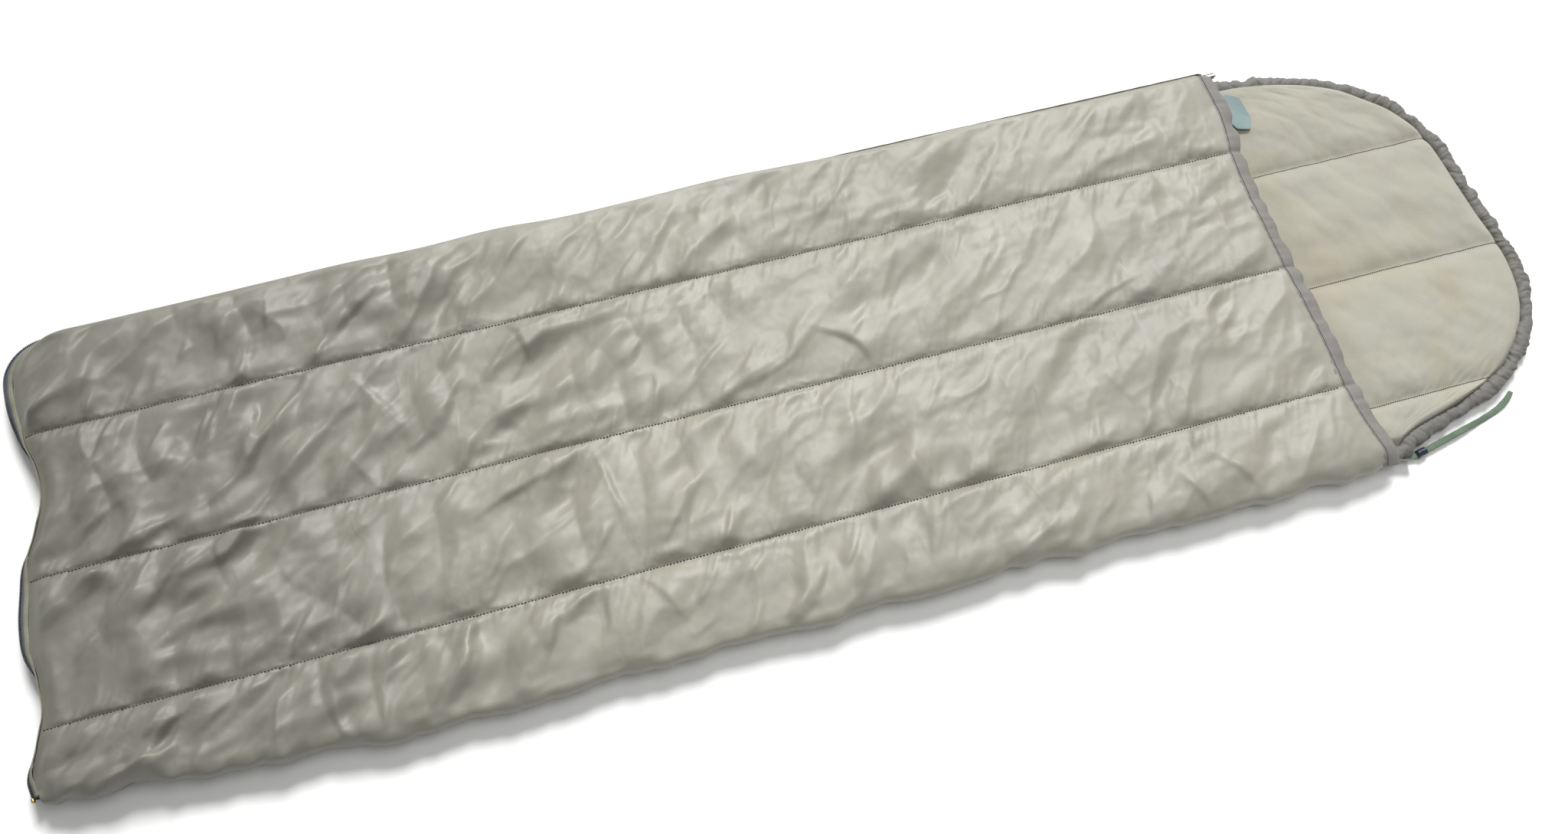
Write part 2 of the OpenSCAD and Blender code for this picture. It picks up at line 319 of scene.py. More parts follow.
def finish_material(material, color=None, bump=None, rough=None):
    shader = material.node_tree.nodes["Principled BSDF"]
    if color:
        material.node_tree.links.new(color.outputs[2], shader.inputs["Base Color"])
    if bump:
        wire(material, bump, "Normal", shader, "Normal")
    if rough:
        noise, low, high = rough
        ramp = node(material, "ShaderNodeMapRange", From_Min=0.3, From_Max=0.7, To_Min=low, To_Max=high)
        wire(material, noise, "Fac", ramp, "Value")
        wire(material, ramp, "Result", shader, "Roughness")
    return material


def taffeta(name, color, grime, pale, roughness=0.5, gloss=0.42, shaded_foot=False):
    """Worn satin taffeta: fine weave, crumples, grey grime and rubbed pale patches, and optionally painted
    shade darkening the foot end.
    """
    material = new_material(name, color, roughness, Sheen_Weight=0.08, Sheen_Roughness=0.4,
                            Specular_IOR_Level=gloss)
    place = node(material, "ShaderNodeTexCoord")
    patches = noise_of(material, place, 3.2, detail=5, roughness=0.6, distortion=0.4)
    streaks = noise_of(material, place, 26, detail=6, roughness=0.65,
                       squash=((0, 0, math.radians(35)), (1, 0.35, 1)))
    specks = noise_of(material, place, 420, detail=2)
    shade = tint(material, color, patches, grime, 0.45, 0.75, 0.5)
    shade = tint(material, shade, streaks, pale, 0.52, 0.78, 0.45)
    shade = tint(material, shade, specks, grime, 0.62, 0.8, 0.5)
    if shaded_foot:
        # Painted shade: the colour darkens towards the foot end, standing in for the light falling off there
        along = node(material, "ShaderNodeSeparateXYZ")
        wire(material, place, "Object", along, "Vector")
        shade = tint(material, shade, along, tuple(0.5 * c for c in color), -0.25, -1.1, out="X")
    crumple = noise_of(material, place, 38, detail=7, roughness=0.62, distortion=1.2,
                       squash=((0, 0, math.radians(38)), (1, 0.45, 1)))
    crumple.noise_type = "RIDGED_MULTIFRACTAL"
    crumple.normalize = True
    threads = weave(material, place, 0.55 * MM, 0.35, 0.15 * MM)
    bump = bump_over(material, crumple, 0.3, 1.6 * MM, under=threads)
    return finish_material(material, shade, bump, rough=(streaks, roughness - 0.06, roughness + 0.1))


def cotton(name, color, stain, grey):
    """Matt cotton-blend lining, soft and yellowed in patches."""
    material = new_material(name, color, 0.85, Sheen_Weight=0.25, Sheen_Roughness=0.6,
                            Specular_IOR_Level=0.2)
    place = node(material, "ShaderNodeTexCoord")
    clouds = noise_of(material, place, 4.5, detail=5, roughness=0.6, distortion=0.6)
    blotches = noise_of(material, place, 11, detail=4, roughness=0.6)
    fibres = noise_of(material, place, 300, detail=3)
    shade = tint(material, color, clouds, stain, 0.5, 0.72, 0.55)
    shade = tint(material, shade, blotches, grey, 0.52, 0.75, 0.4)
    shade = tint(material, shade, fibres, grey, 0.55, 0.8, 0.5)
    soft = noise_of(material, place, 30, detail=6, roughness=0.6, distortion=0.8)
    threads = weave(material, place, 0.7 * MM, 0.4, 0.2 * MM)
    bump = bump_over(material, soft, 0.25, 2.2 * MM, under=threads)
    return finish_material(material, shade, bump)


def tape_cloth(name, color, dark, pitch=1.1 * MM, roughness=0.75):
    material = new_material(name, color, roughness, Sheen_Weight=0.1, Specular_IOR_Level=0.3)
    place = node(material, "ShaderNodeTexCoord")
    wear = noise_of(material, place, 45, detail=5)
    fibres = noise_of(material, place, 500, detail=2)
    shade = tint(material, color, wear, dark, 0.4, 0.7, 0.6)
    shade = tint(material, shade, fibres, dark, 0.5, 0.75, 0.5)
    return finish_material(material, shade, weave(material, place, pitch, 0.6, 0.3 * MM))


def hard(name, color, worn, roughness, metallic=0.0, coat=0.0, scratch=220):
    material = new_material(name, color, roughness, Metallic=metallic, Coat_Weight=coat,
                            Coat_Roughness=0.08)
    place = node(material, "ShaderNodeTexCoord")
    wear = noise_of(material, place, 160, detail=6, roughness=0.7)
    scratches = noise_of(material, place, scratch, detail=4, squash=((0, 0, 0.3), (1, 9, 9)))
    shade = tint(material, color, wear, worn, 0.5, 0.72, 0.8)
    bump = bump_over(material, scratches, 0.25, 0.08 * MM)
    return finish_material(material, shade, bump, rough=(wear, roughness * 0.8, roughness * 1.5))


def wadding(name):
    material = new_material(name, (0.80, 0.80, 0.76), 0.95, Sheen_Weight=0.5, Specular_IOR_Level=0.1)
    place = node(material, "ShaderNodeTexCoord")
    tufts = noise_of(material, place, 90, detail=7, roughness=0.7, distortion=1.5)
    shade = tint(material, (0.80, 0.80, 0.76), tufts, (0.6, 0.6, 0.56), 0.4, 0.7)
    return finish_material(material, shade, bump_over(material, tufts, 0.8, 2 * MM))


# The shell's colour carries painted shade that darkens it towards the foot end
SHELL = taffeta("shell_taffeta", (0.310, 0.299, 0.246), (0.235, 0.226, 0.188), (0.37, 0.358, 0.305),
                roughness=0.45, gloss=0.58, shaded_foot=True)
HEM = taffeta("hem_taffeta", (0.215, 0.204, 0.190), (0.165, 0.155, 0.147), (0.265, 0.252, 0.242),
              roughness=0.6)
CASING = taffeta("casing_taffeta", (0.165, 0.158, 0.142), (0.10, 0.095, 0.085), (0.23, 0.22, 0.20),
                 roughness=0.6)
LINING = cotton("lining_cotton", (0.375, 0.364, 0.300), (0.35, 0.295, 0.175), (0.30, 0.294, 0.258))
FILL = wadding("wadding")
THREAD = tape_cloth("thread", (0.075, 0.072, 0.06), (0.04, 0.04, 0.035), pitch=0.3 * MM)
HEM_THREAD = tape_cloth("hem_thread", (0.12, 0.115, 0.10), (0.07, 0.065, 0.06), pitch=0.3 * MM)
TAPE = tape_cloth("zip_tape_weave", (0.115, 0.130, 0.158), (0.06, 0.07, 0.09))
PIPING = tape_cloth("piping_weave", (0.25, 0.243, 0.18), (0.15, 0.145, 0.105))
COIL = hard("zip_coil_nylon", (0.018, 0.022, 0.034), (0.06, 0.065, 0.08), 0.35)
TAB = cotton("tab_cloth", (0.235, 0.315, 0.315), (0.28, 0.33, 0.31), (0.17, 0.235, 0.24))
CORD = tape_cloth("cord_braid", (0.140, 0.200, 0.135), (0.075, 0.115, 0.08), pitch=1.3 * MM)
BRASS = hard("worn_brass", (0.62, 0.44, 0.17), (0.30, 0.22, 0.10), 0.32, metallic=1.0)
STEEL = hard("worn_steel", (0.50, 0.50, 0.50), (0.26, 0.25, 0.24), 0.34, metallic=1.0)
LOCK = hard("lock_plastic", (0.012, 0.018, 0.032), (0.04, 0.05, 0.07), 0.16, coat=0.6)

# ---------------- drawcord's free end

# Centre line of the cord, as in part.scad
TAIL = np.array([
    (782, -305, 9.5), (780.5, -313, 9.3), (782, -321, 8.8), (785.5, -328.5, 8.1), (791, -334.5, 7.4),
    (798.5, -338.2, 6.9), (806.5, -339.2, 6.7), (818.5, -336.6, 6.7), (830.5, -334, 6.7),
    (842.5, -331.4, 6.7), (854.5, -328.8, 6.7), (866.5, -326.2, 6.7), (878.5, -323.6, 6.7),
    (890.5, -321, 5.9), (902.5, -318.4, 4.4), (914.5, -315.8, 2.9), (926.5, -313, 1.8),
    (938.5, -310, 1.4), (950.5, -306.6, 1.3), (962, -302.4, 1.3), (973, -297, 1.3),
    (983.5, -290.6, 1.3), (993, -283.2, 1.3),
]) * MM
CORD_W = 9 * MM


def flat_ring(centre, along, width, thick, lean=0.0, corners=12):
    """Flattened oval ring across a cord, leaning about its own line."""
    side = np.cross([0, 0, 1], along)
    side /= np.linalg.norm(side)
    top = np.cross(along, side)
    side, top = side * math.cos(lean) + top * math.sin(lean), top * math.cos(lean) - side * math.sin(lean)
    ring = []
    for k in range(corners):
        a = 2 * math.pi * k / corners
        c, s = math.cos(a), math.sin(a)
        ring.append(
            centre
            + side * width / 2 * math.copysign(abs(c) ** 0.7, c)
            + top * thick / 2 * math.copysign(abs(s) ** 0.7, s)
        )
    return ring


def directions(path):
    along = np.gradient(path, axis=0)
    return along / np.linalg.norm(along, axis=1)[:, None]


def drawcord_tail():
    path, run = spline(TAIL, 1.5 * MM)
    along = directions(path)
    rings = []
    for p, d, s in zip(path, along, run):
        left = run[-1] - s
        edge_on = 0.35 * math.sin(s / 0.021) * smooth((s - 0.12) / 0.05)
        width = CORD_W * (0.8 + 0.2 * smooth(left / 0.02)) * (1 + 0.03 * math.sin(s / 0.0031))
        lift = np.array([0, 0, 0.45 * width * abs(math.sin(edge_on))])
        rings.append(flat_ring(p + lift, d, width, 1.9 * MM, lean=edge_on))
    return tube("drawcord_tail_braid", rings, CORD), path, run[-1]


tail, tail_path, tail_length = drawcord_tail()
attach(tail, "hood")
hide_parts("drawcord_tail")

# ---------------- outline of the bag

FOOT_X, MOUTH_X, NEAR_Y, FAR_Y = -1.095, 0.745, -0.35, 0.3414
CORNER_R = 0.06
QUILT_TOP = (-0.222, -0.020, 0.190)
QUILT_LOW = (-0.258, -0.054, 0.150)
HEM_IN, HEM_OUT = 0.724, 0.752

# Foot edge of the zip, seen from above, and how far the zip lies flat there (1) or stands (0)
FOOT_EDGE = [
    (-0.35, -1.104), (-0.305, -1.108), (-0.276, -1.113), (-0.241, -1.099), (-0.205, -1.086), (-0.163, -1.088),
    (-0.117, -1.107), (-0.075, -1.110), (-0.033, -1.106), (0.009, -1.099), (0.047, -1.079), (0.088, -1.066),
    (0.135, -1.069), (0.188, -1.091), (0.239, -1.104), (0.288, -1.107), (0.35, -1.100),
]
ZIP_FLAT = [
    (-0.35, 0.6), (-0.30, 0.8), (-0.25, 0.3), (-0.215, 0.0), (-0.165, 0.0), (-0.13, 0.6), (-0.08, 1.0),
    (-0.02, 0.9), (0.03, 0.3), (0.06, 0.0), (0.13, 0.0), (0.17, 0.3), (0.22, 0.9), (0.30, 1.0), (0.35, 0.7),
]
# How far the folded side is drawn in, along the bag
NEAR_EDGE = [
    (-1.12, 0.040), (-1.05, 0.036), (-0.96, 0.029), (-0.87, 0.017), (-0.77, 0.012), (-0.68, 0.002),
    (-0.5, -0.001), (-0.3, 0.003), (0.0, 0.0), (0.3, 0.003), (0.55, 0.0), (0.8, 0.002),
]
# How far the zip side bulges out, along the bag
FAR_PUFF = [
    (-1.1, 0.0), (-0.95, 0.0), (-0.73, 0.003), (-0.62, 0.005), (-0.5, 0.002), (-0.39, 0.006), (-0.30, 0.0),
    (-0.18, 0.001), (-0.04, 0.005), (0.08, 0.0), (0.2, -0.005), (0.35, -0.002), (0.5, -0.006), (0.75, -0.005),
]
# How far the mouth edge runs past its straight line
MOUTH_EDGE = [
    (-0.35, 0.020), (-0.27, 0.006), (-0.14, 0.004), (0.08, -0.003), (0.18, 0.0), (0.25, 0.012), (0.35, 0.008),
]


def foot_x(y):
    """Foot border of the panels' cloth, just inside the zip."""
    corner = np.clip(y - (FAR_Y - CORNER_R), 0, CORNER_R)
    bend = CORNER_R - np.sqrt(np.maximum(CORNER_R**2 - corner**2, 0))
    return through(FOOT_EDGE, y) + (4 + 12.5 * through(ZIP_FLAT, y)) * MM + bend


def near_y(x):
    ripple = 1.4 * MM * waves(x, x * 0, 0.045, 0, 3, 5) + 2.2 * MM * waves(x, x * 0, 0.13, 0, 3, 6)
    return NEAR_Y + through(NEAR_EDGE, x) + ripple


def place(x0, y0, inset=0.0):
    """Moves a point of the plain rectangle to its place in the bag's real outline."""
    near_pull = 1 - smooth((y0 - NEAR_Y) / 0.13)
    y = y0 + near_pull * (near_y(x0) - NEAR_Y)
    foot_pull = 1 - smooth((x0 - FOOT_X) / 0.20)
    mouth_pull = smooth((x0 - MOUTH_X + 0.16) / 0.16)
    x = x0 + foot_pull * (foot_x(y) + inset - FOOT_X) + mouth_pull * through(MOUTH_EDGE, y0)
    return x, y


def rows_between(marks, step, quilted):
    """Row places across the bag: even steps, and closer rows beside each quilt line."""
    rows = []
    for a, b in zip(marks, marks[1:]):
        start = [a]
        if a in quilted:
            start += [a + 2.5 * MM, a + 6 * MM]
        stop = [b - 6 * MM, b - 2.5 * MM] if b in quilted else []
        last = stop[0] if stop else b
        n = max(1, int(round((last - start[-1]) / step)))
        middle = [start[-1] + (last - start[-1]) * k / n for k in range(1, n)]
        rows += start + middle + stop
    rows.append(marks[-1])
    return rows


def seam_distance(y, marks):
    return np.min([np.abs(y - m) for m in marks], 0)


# ---------------- upper shell, round the fold

# Cross-section of the cloth round the fold and where it turns down over the zip: place across, height
FOLD = [(0.012, 0.010), (0.001, 0.017), (-0.002, 0.024), (-0.002, 0.032), (0.001, 0.039), (0.009, 0.0445)]
FAR_TURN = [(0.332, 0.0465), (0.338, 0.0458), (0.3425, 0.0435), (0.3418, 0.0405)]
# Share of the zip side's bulge that each row of FAR_TURN takes
TURN_SHARE = np.array([0.7, 0.9, 1.0, 0.25])
SHELL_Z, RIM_Z = 0.046, 0.0405
# Highest places of the cloth as it settles and with its creases, and its lowest over the wadding
SETTLED_TOP, CREASED_TOP, WADDING_COVER = 0.064, 0.0662, 0.0394
# Border of the panels' cloth beside the zip
PANEL_FAR = 0.338


def crumples(x, y, seed):
    """Long slanting folds, calm in some places and crowded in others."""
    crowd = smooth(0.5 + 0.45 * waves(x, y, 0.34, 0, 90, seed + 2))
    bend = 0.012 * waves(x, y, 0.26, 0, 90, seed)
    broad = waves(x + bend, y, 0.125, -46, 16, seed + 3)
    narrow = waves(x, y + bend, 0.056, -50, 24, seed + 4)
    broken = waves(x, y, 0.09, 30, 40, seed + 5)
    return (0.55 + 0.35 * crowd) * broad + (0.08 + 0.34 * crowd) * narrow + 0.16 * broken


def pinch_folds(x, y, marks, seed, spacing=0.05):
    """Sharp one-sided folds that slant across each channel, many of them starting at a seam."""
    rng = np.random.default_rng(seed)
    lift = np.zeros_like(x)
    for low, high in zip(marks, marks[1:]):
        for at in np.arange(FOOT_X + 0.03, HEM_IN, spacing):
            long = rng.uniform(0.075, min(0.20, 1.25 * (high - low)))
            turn = math.radians(rng.normal(46, 16) if rng.random() < 0.88 else rng.normal(110, 14))
            reach = long * abs(math.sin(turn)) / 2
            mid_y = rng.uniform(low + 0.02, high - 0.02)
            if rng.random() < 0.45:
                mid_y = low + reach if rng.random() < 0.5 else high - reach
            mid_x = at + rng.uniform(-0.03, 0.03)
            tall = rng.uniform(2.2, 7.4) * MM * (1.6 - 0.95 * smooth((at + 0.9) / 1.4))
            steep, gentle = rng.uniform(3.4, 6.5) * MM, rng.uniform(14, 34) * MM
            if rng.random() < 0.4:
                steep, gentle = gentle, steep
            sway, phase = rng.normal(0, 7) * MM, rng.uniform(0, 6)
            near = (np.abs(x - mid_x) < long) & (np.abs(y - mid_y) < long)
            px, py = x[near] - mid_x, y[near] - mid_y
            along = px * math.cos(turn) + py * math.sin(turn)
            across = py * math.cos(turn) - px * math.sin(turn)
            across = across - sway * np.sin(along / long * 5 + phase)
            width = np.where(across > 0, steep, gentle)
            ridge = np.exp(-np.abs(across / width) ** 1.5) * smooth(1.05 - np.abs(along) / (long / 2))
            lift[near] += tall * ridge
    return lift


def facets(x, y):
    """Broad flat faces between straight creases, deeper toward the foot."""
    bend = 0.02 * waves(x, y, 0.3, 0, 90, 31)
    slanting = np.abs(waves(x + bend, y, 0.17, -44, 15, 32))
    crossing = np.abs(waves(x, y + bend, 0.15, -8, 30, 33))
    small = np.abs(waves(x, y, 0.075, -52, 26, 34))
    depth = 1.45 - 0.9 * smooth((x + 0.9) / 1.3)
    return depth * MM * (4.4 * (0.7 - slanting) + 2.4 * (crossing - 0.7) + 1.5 * (0.7 - small))


def fine_creases(piece, marks):
    """Adds the sharp creases and seam puckers that are too fine for the simulated grid."""
    mesh = piece.data
    co = np.empty(len(mesh.vertices) * 3)
    mesh.vertices.foreach_get("co", co)
    co = co.reshape(-1, 3)
    x, y = co[:, 0], co[:, 1]
    seam = seam_distance(y, marks)
    crowd = smooth(0.5 + 0.5 * waves(x, y, 0.21, 0, 90, 91))
    small = waves(x, y, 0.024, -48, 20, 92)
    small = np.sign(small) * (1 - np.exp(-np.abs(small)))
    tiny = waves(x, y, 0.012, -44, 30, 93)
    pucker = creased(waves(x - 0.45 * y, y * 0.12, 0.024, 0, 12, 94), 1.7) - 0.6
    pucker_reach = 0.007 + 0.022 * smooth(0.5 + 0.5 * waves(x, y * 0, 0.06, 0, 5, 95))
    # All in millimetres
    lift = (0.25 + 0.6 * crowd) * (0.55 * small + 0.15 * tiny)
    lift += 4.4 * pucker * np.exp(-seam / pucker_reach) * smooth(seam / 0.0025)
    lift += pinch_folds(x, y, (NEAR_Y, *marks, 0.335), 17) / MM * smooth((seam - 0.0015) / 0.009)
    lift += facets(x, y) / MM * smooth(seam / 0.018)
    deepest = 2.6
    lift = np.where(lift < 0, deepest * np.tanh(lift / deepest), lift)
    lift = lift * smooth((x - FOOT_X - 0.012) / 0.03) * smooth((HEM_IN - 0.006 - x) / 0.02)
    lift = lift * smooth((y - NEAR_Y - 0.004) / 0.012) * smooth((PANEL_FAR - y) / 0.01)
    co[:, 2] = np.minimum(co[:, 2] + MM * lift, CREASED_TOP)
    over_fill = (x > FOOT_X + 0.03) & (x < HEM_IN - 0.01) & (y > NEAR_Y + 0.05) & (y < 0.325)
    co[over_fill, 2] = np.maximum(co[over_fill, 2], WADDING_COVER)
    mesh.vertices.foreach_set("co", co.reshape(-1))
    mesh.update()


def quilt_pins(y, marks, border):
    """Points held still while cloth settles: its ends, its outer rows and its quilt lines."""
    pinned = np.zeros(y.shape, bool)
    pinned[0] = pinned[-1] = True
    pinned[:, :border] = pinned[:, -border:] = True
    for q in marks:
        pinned |= np.abs(y - q) < 1e-6
    return pinned


def upper_shell():
    step = 6.8 * MM
    xs = np.linspace(FOOT_X, HEM_IN, int((HEM_IN - FOOT_X) / step) + 1)
    top = rows_between([NEAR_Y + 0.016, *QUILT_TOP, 0.326], step, QUILT_TOP)
    y0 = np.array([NEAR_Y + f[0] for f in FOLD] + top + [f[0] for f in FAR_TURN])
    z0 = np.array([f[1] for f in FOLD] + [SHELL_Z] * len(top) + [f[1] for f in FAR_TURN])
    x0, y0 = np.meshgrid(xs, y0, indexing="ij")
    z = np.repeat(z0[None, :], len(xs), 0)
    x, y = place(x0, y0)
    seam = seam_distance(y0, QUILT_TOP)
    ends = np.minimum(x0 - FOOT_X, HEM_IN - x0 + 0.004)
    edges = np.minimum(seam_distance(y0, (NEAR_Y + 0.01, 0.340)), ends)
    swell = np.minimum(smooth(seam / 0.022) ** 0.45, smooth((edges + 0.004) / 0.035) ** 0.6)
    on_top = (y0 > NEAR_Y + 0.012) & (y0 < 0.340)
    rumple = (5.6 - 2.8 * smooth((x0 + 0.9) / 1.4)) * MM
    z = z + on_top * 0.3 * MM * np.random.default_rng(3).normal(0, 1, x0.shape)
    loft = swell * (3.6 * MM + rumple * crumples(x0, y0, 11))
    z = z + on_top * (loft - 4 * MM * np.exp(-seam / 0.0035))
    # The foot border comes down to the zip
    inward = smooth((x0 - FOOT_X) / 0.02)
    border = np.where(on_top, RIM_Z - 0.005 * through(ZIP_FLAT, y0), np.minimum(z, RIM_Z))
    z = z * inward + (1 - inward) * border
    # The far side bulges out over the zip in places
    y[:, -len(FAR_TURN):] += through(FAR_PUFF, x0[:, -len(FAR_TURN):]) * TURN_SHARE
    start, pinned = np.stack([x, y, z], -1), quilt_pins(y0, QUILT_TOP, 2)
    settled = settle(start, (0.065, 0.015), pinned, 30, pressure=0.55, bending=0.25)
    settled[..., 2] = np.minimum(settled[..., 2], SETTLED_TOP)
    return settled, y0[0]


shell, shell_rows = upper_shell()
outer_shell = cloth_grid("upper_shell_cloth", shell, SHELL)
fine_creases(outer_shell, QUILT_TOP)
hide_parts("upper_shell", "upper_fold", "lower_fold")
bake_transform(outer_shell)


def softened_grid(piece, shape):
    """The grid points of a cloth piece, where they lie after softening."""
    co = np.empty(len(piece.data.vertices) * 3)
    piece.data.vertices.foreach_get("co", co)
    return co.reshape(-1, 3)[:shape[0] * shape[1]].reshape(*shape, 3)


def quilt_rows(piece, shape, row_places, marks):
    """The grid lines of a cloth piece that its quilting runs along."""
    lines = softened_grid(piece, shape)
    return [lines[:, int(np.argmin(np.abs(row_places - q)))] for q in marks]


def stitches(name, lines, material, seed, pitch=4.6 * MM, long=3.5 * MM, wide=1.7 * MM):
    """Rows of lockstitches along lines on the cloth: one small bent bar of thread for each stitch."""
    lift = 0.5 * MM
    bars = []
    for line in lines:
        rng = np.random.default_rng(seed)
        run = np.concatenate([[0], np.cumsum(np.linalg.norm(np.diff(line, axis=0), axis=1))])
        for s in np.arange(pitch, run[-1] - pitch, pitch):
            ends = [s - long / 2, s - long / 5, s + long / 5, s + long / 2]
            centres = np.array([[np.interp(e, run, line[:, k]) for k in range(3)] for e in ends])
            along = centres[-1] - centres[0]
            along /= np.linalg.norm(along)
            side = np.cross([0, 0, 1], along)
            side /= np.linalg.norm(side)
            top = np.cross(along, side)
            jog = side * rng.normal(0, 0.12) * MM
            bar = []
            for c, high, w in zip(centres, (-0.3, 1, 1, -0.3), (0.5, 1, 1, 0.5)):
                mid = c + jog + top * lift * high
                bar.append([
                    mid + (side * math.cos(t) + top * math.sin(t)) * wide / 2 * w
                    for t in np.arange(6) * math.pi / 3
                ])
            bars.append(bar)
    return tubes(name, bars, material, flip=True)


top_seam_lines = quilt_rows(outer_shell, shell.shape[:2], shell_rows, QUILT_TOP)
top_seams = stitches("upper_quilt_stitches", top_seam_lines, THREAD, seed=6)
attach(top_seams, "upper_panel")
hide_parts("upper_quilt_seams")

# ---------------- plain quilted layers


def quilted_layer(name, material, marks, x_end, height, swell, sign, seed, near, flip, edge_z,
                  fold=(), wrinkle=2.2 * MM):
    """Layer of a panel with its quilt lines drawn in. sign is 1 where it swells upwards."""
    step, inset = 11 * MM, 2 * MM
    xs = np.linspace(FOOT_X, x_end, int((x_end - FOOT_X) / step) + 1)
    rows = rows_between([near, *marks, 0.332], step, marks) + [PANEL_FAR]
    y_row = np.array([NEAR_Y + f[0] for f in fold] + rows)
    z_row = np.array([f[1] for f in fold] + [height] * len(rows))
    x0, y0 = np.meshgrid(xs, y_row, indexing="ij")
    z = np.repeat(z_row[None, :], len(xs), 0)
    x, y = place(x0, y0, inset=inset)
    body = np.repeat((np.arange(len(y_row)) >= len(fold))[None, :], len(xs), 0)
    seam = seam_distance(y0, marks)
    ends, sides = np.minimum(x0 - FOOT_X, x_end - x0 + 0.02), np.minimum(y0 - near, PANEL_FAR - y0)
    edge = np.minimum(ends, sides)
    rise = np.minimum(smooth(seam / 0.05) ** 0.55, smooth(edge / 0.04))
    folds = creased(waves(x0, y0, 0.09, 40, 40, seed)) - 0.5
    small = waves(x0, y0 * 0.3, 0.02, 5, 15, seed + 1) * np.exp(-((seam - 0.009) / 0.01) ** 2)
    z = z + body * sign * (rise * (swell + wrinkle * folds) + 0.7 * MM * small * smooth(edge / 0.02))
    # The zip's borders come together at edge_z
    border = (1 - smooth((PANEL_FAR - y0) / 0.02)) * body
    border = np.maximum(border, 1 - smooth((x0 - FOOT_X) / 0.02))
    z = z * (1 - border) + edge_z * border
    points = np.stack([x, y, z], -1)
    piece = cloth_grid(name, points, material, flip=flip)
    return piece, quilt_rows(piece, points.shape[:2], y_row, marks), points


low_shell, _, _ = quilted_layer(
    "lower_shell_cloth", SHELL, QUILT_LOW, 0.7746, 1.2 * MM, 0.0, -1, 21, near=NEAR_Y + 0.020, flip=True,
    edge_z=0.0125, fold=[(0.0035, 0.0215), (0.003, 0.013), (0.006, 0.005), (0.013, 0.0018)],
    wrinkle=0.8 * MM,
)
for v in low_shell.data.vertices:
    v.co.z = max(v.co.z, 0.3 * MM)
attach(low_shell, "lower_panel")
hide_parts("lower_shell")

low_lining, low_seams, low_grid = quilted_layer(
    "lower_lining_cloth", LINING, QUILT_LOW, 0.742, 20.5 * MM, 3.4 * MM, 1, 31, near=NEAR_Y + 0.006,
    flip=False,
    edge_z=0.0225,
)
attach(low_lining, "lower_panel")
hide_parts("lower_lining")

top_lining, _, _ = quilted_layer(
    "upper_lining_cloth", LINING, QUILT_TOP, 0.722, 36.5 * MM, 3.2 * MM, -1, 41, near=NEAR_Y + 0.010,
    flip=True, edge_z=0.0335,
    fold=[(0.008, 0.0215), *((0.006, 0.0250 + 0.0008 * k) for k in range(9)), (0.0075, 0.035)],
)
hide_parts("upper_lining")
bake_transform(top_lining)

# ---------------- hood

HOOD_FROM, HOOD_NEAR, HOOD_FAR = 0.742, -0.3215, 0.3225
# Lowest and highest place of the hood's lining
HOOD_CLOTH_Z = (0.009, 0.0345)
# Middle of the gathered casing, from its near end round the tip to the far end
CASING_LINE = [
    (0.762, -0.3365), (0.774, -0.333), (0.787, -0.3275), (0.803, -0.319), (0.826, -0.3095), (0.864, -0.3000),
    (0.925, -0.283), (0.980, -0.262), (1.020, -0.234), (1.053, -0.200), (1.078, -0.158), (1.092, -0.105),
    (1.093, -0.050), (1.087, 0.000), (1.081, 0.060), (1.077, 0.115), (1.066, 0.165), (1.040, 0.212),
    (0.992, 0.258), (0.950, 0.283), (0.905, 0.301), (0.850, 0.313), (0.800, 0.321), (0.762, 0.326),
]
CASING_R = 11 * MM

casing_path, casing_run = spline([(x, y, 0.0105) for x, y in CASING_LINE], 1.6 * MM)
casing_along = directions(casing_path)
casing_out = np.stack([casing_along[:, 1], -casing_along[:, 0], np.zeros(len(casing_path))], -1)


def hood_rim(y, inset):
    """x of the hood's inner rim at a place across the bag."""
    rim = casing_path - casing_out * (CASING_R + inset)
    order = np.argsort(rim[:, 1])
    return np.interp(y, rim[order, 1], rim[order, 0])


def hood_grid(inset, x_start, rows, columns, near, far):
    """Grid that fills the hood's outline, with rows on the quilt lines."""
    u = np.sin(np.linspace(-math.pi / 2, math.pi / 2, rows))
    y = (near + far) / 2 + u * (far - near) / 2
    for q in QUILT_LOW:
        y[int(np.argmin(np.abs(y - q)))] = q
    t = np.linspace(0, 1, columns)
    end = hood_rim(y, inset)
    start = np.minimum(x_start, end - 4 * MM)
    x = start[None, :] + (end - start)[None, :] * t[:, None]
    return x, np.repeat(y[None, :], columns, 0), t


